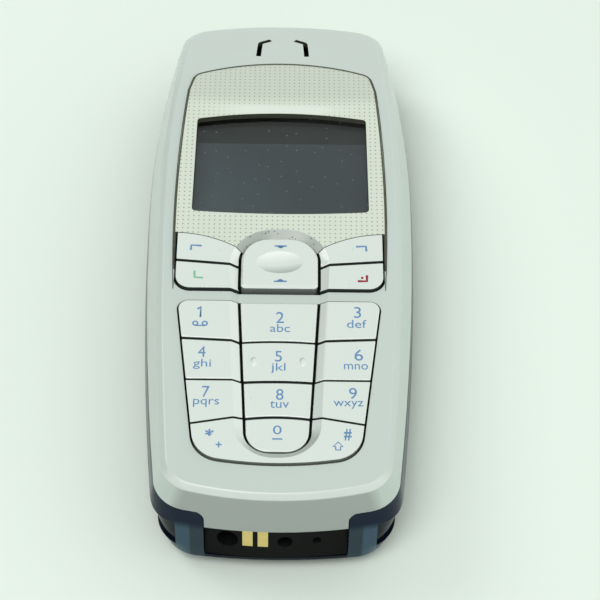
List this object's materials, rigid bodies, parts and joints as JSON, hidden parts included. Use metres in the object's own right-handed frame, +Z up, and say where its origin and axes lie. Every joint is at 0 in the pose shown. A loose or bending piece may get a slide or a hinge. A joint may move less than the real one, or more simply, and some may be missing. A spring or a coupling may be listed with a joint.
{
  "type": "feature phone",
  "caption": "Candy-bar keypad phone with a dotted face plate, raised keys, a lift-off back cover over the battery and a foot connector block.",
  "frame": {"origin": "middle of the footprint, on the flat of the back cover that the phone lies on", "axes": "+X to the right across the keys, +Y along the phone towards the earpiece, +Z up out of the keys"},
  "size_m": [0.05, 0.118, 0.0227],
  "materials": {
    "silver_cover": "silver paint over moulded plastic, satin",
    "dotted_plate": "pearl cream with a printed grid of fine dots, satin",
    "clear_lens": "clear hard-coated window, glossy",
    "white_frame": "moulded, matt",
    "display_glass": "unlit display, smooth",
    "key_rubber": "milky silicone, matt",
    "spring_steel": "rolled, satin",
    "board_laminate": "green solder mask, satin",
    "tinned_shield": "tinned, satin",
    "black_boot": "moulded, matt",
    "motor_can": "drawn, satin",
    "grey_frame": "moulded, fine matt grain",
    "antenna_strip": "stamped, satin",
    "gold_contact": "gold plated, satin",
    "black_block": "moulded, fine matt grain",
    "screw_steel": "blackened, satin",
    "silver_keys": "silver paint under clear coat, satin",
    "navy_cover": "moulded navy, glossy",
    "battery_case": "moulded with a printed wrap, matt"
  },
  "bodies": {
    "body": {"front_cover": "silver_cover", "bezel_plate": "dotted_plate", "window_lens": "clear_lens", "display_frame": "white_frame", "display_glass": "display_glass", "keypad_mat": "key_rubber", "dome_sheet": "spring_steel", "circuit_board": "board_laminate", "shield_can": "tinned_shield", "earpiece": "black_boot", "ringer": "black_boot", "vibration_motor": "motor_can", "chassis": "grey_frame", "antenna_carrier": "white_frame", "antenna": "antenna_strip", "card_holder": "spring_steel", "battery_contacts": "gold_contact", "connector_block": "black_block", "charge_contacts": "gold_contact", "charger_jack": "black_block", "headset_jack": "black_block", "microphone": "black_boot", "chassis_screws": "screw_steel"},
    "key_1": {"key_1": "silver_keys"},
    "key_2": {"key_2": "silver_keys"},
    "key_3": {"key_3": "silver_keys"},
    "key_4": {"key_4": "silver_keys"},
    "key_5": {"key_5": "silver_keys"},
    "key_6": {"key_6": "silver_keys"},
    "key_7": {"key_7": "silver_keys"},
    "key_8": {"key_8": "silver_keys"},
    "key_9": {"key_9": "silver_keys"},
    "key_0": {"key_0": "silver_keys"},
    "key_star_hash": {"key_star_hash": "silver_keys"},
    "soft_key_left": {"soft_key_left": "silver_keys"},
    "soft_key_right": {"soft_key_right": "silver_keys"},
    "send_key": {"send_key": "silver_keys"},
    "end_key": {"end_key": "silver_keys"},
    "nav_key": {"nav_key": "silver_keys"},
    "back_cover": {"back_cover": "navy_cover"},
    "battery": {"battery": "battery_case"},
    "release_button": {"release_button": "navy_cover"}
  },
  "joints": [
    {"name": "key_1_press", "type": "slide", "parent": "body", "child": "key_1", "axis": [0, 0, -1], "range_m": [0, 0.00035], "stiffness_N_per_m": 4000},
    {"name": "key_2_press", "type": "slide", "parent": "body", "child": "key_2", "axis": [0, 0, -1], "range_m": [0, 0.00035], "stiffness_N_per_m": 4000},
    {"name": "key_3_press", "type": "slide", "parent": "body", "child": "key_3", "axis": [0, 0, -1], "range_m": [0, 0.00035], "stiffness_N_per_m": 4000},
    {"name": "key_4_press", "type": "slide", "parent": "body", "child": "key_4", "axis": [0, 0, -1], "range_m": [0, 0.00035], "stiffness_N_per_m": 4000},
    {"name": "key_5_press", "type": "slide", "parent": "body", "child": "key_5", "axis": [0, 0, -1], "range_m": [0, 0.00035], "stiffness_N_per_m": 4000},
    {"name": "key_6_press", "type": "slide", "parent": "body", "child": "key_6", "axis": [0, 0, -1], "range_m": [0, 0.00035], "stiffness_N_per_m": 4000},
    {"name": "key_7_press", "type": "slide", "parent": "body", "child": "key_7", "axis": [0, 0, -1], "range_m": [0, 0.00035], "stiffness_N_per_m": 4000},
    {"name": "key_8_press", "type": "slide", "parent": "body", "child": "key_8", "axis": [0, 0, -1], "range_m": [0, 0.00035], "stiffness_N_per_m": 4000},
    {"name": "key_9_press", "type": "slide", "parent": "body", "child": "key_9", "axis": [0, 0, -1], "range_m": [0, 0.00035], "stiffness_N_per_m": 4000},
    {"name": "key_0_press", "type": "slide", "parent": "body", "child": "key_0", "axis": [0, 0, -1], "range_m": [0, 0.00035], "stiffness_N_per_m": 4000},
    {"name": "soft_key_left_press", "type": "slide", "parent": "body", "child": "soft_key_left", "axis": [0, 0, -1], "range_m": [0, 0.00035], "stiffness_N_per_m": 4000},
    {"name": "soft_key_right_press", "type": "slide", "parent": "body", "child": "soft_key_right", "axis": [0, 0, -1], "range_m": [0, 0.00035], "stiffness_N_per_m": 4000},
    {"name": "send_key_press", "type": "slide", "parent": "body", "child": "send_key", "axis": [0, 0, -1], "range_m": [0, 0.00035], "stiffness_N_per_m": 4000},
    {"name": "end_key_press", "type": "slide", "parent": "body", "child": "end_key", "axis": [0, 0, -1], "range_m": [0, 0.00035], "stiffness_N_per_m": 4000},
    {"name": "key_star_hash_rock", "type": "hinge", "parent": "body", "child": "key_star_hash", "pos_m": [0, -0.046, 0.0205], "axis": [0, 1, 0], "range_deg": [-1.3, 1.3], "stiffness_Nm_per_rad": 0.8},
    {"name": "nav_key_rock", "type": "hinge", "parent": "body", "child": "nav_key", "pos_m": [0, -0.0092, 0.0196], "axis": [1, 0, 0], "range_deg": [-2.5, 2.5], "stiffness_Nm_per_rad": 0.18},
    {"name": "back_cover_lift", "type": "slide", "parent": "body", "child": "back_cover", "axis": [0, 0, -1], "range_m": [0, 0.03]},
    {"name": "battery_lift", "type": "slide", "parent": "body", "child": "battery", "axis": [0, 0, -1], "range_m": [0, 0.015]},
    {"name": "release_button_press", "type": "slide", "parent": "back_cover", "child": "release_button", "axis": [0, 0, 1], "range_m": [0, 0.0008], "stiffness_N_per_m": 2000}
  ],
  "couplings": [
    {"joint": "battery_lift", "follows": "back_cover_lift", "ratio": 0.5}
  ]
}
